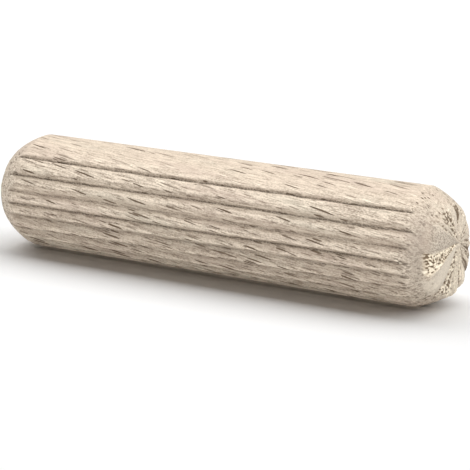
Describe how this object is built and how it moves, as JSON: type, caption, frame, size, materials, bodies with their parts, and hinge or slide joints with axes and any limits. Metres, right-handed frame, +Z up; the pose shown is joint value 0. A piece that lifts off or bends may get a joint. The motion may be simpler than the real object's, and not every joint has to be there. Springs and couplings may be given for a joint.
{
  "type": "fluted dowel pin",
  "caption": "Short round wooden pin with straight flutes around most of its barrel, rounded noses and a star of creases pressed into each low pointed end.",
  "frame": {"origin": "centre of the pin, on its axis and midway between its tips", "axes": "+X along the pin's axis, +Z up as it lies on its side, with the flute that faces straight down between the two lands it rests on"},
  "size_m": [0.035, 0.008, 0.008],
  "materials": {
    "wood": "matte"
  },
  "bodies": {
    "root": {"dowel_pin": "wood"}
  },
  "joints": []
}
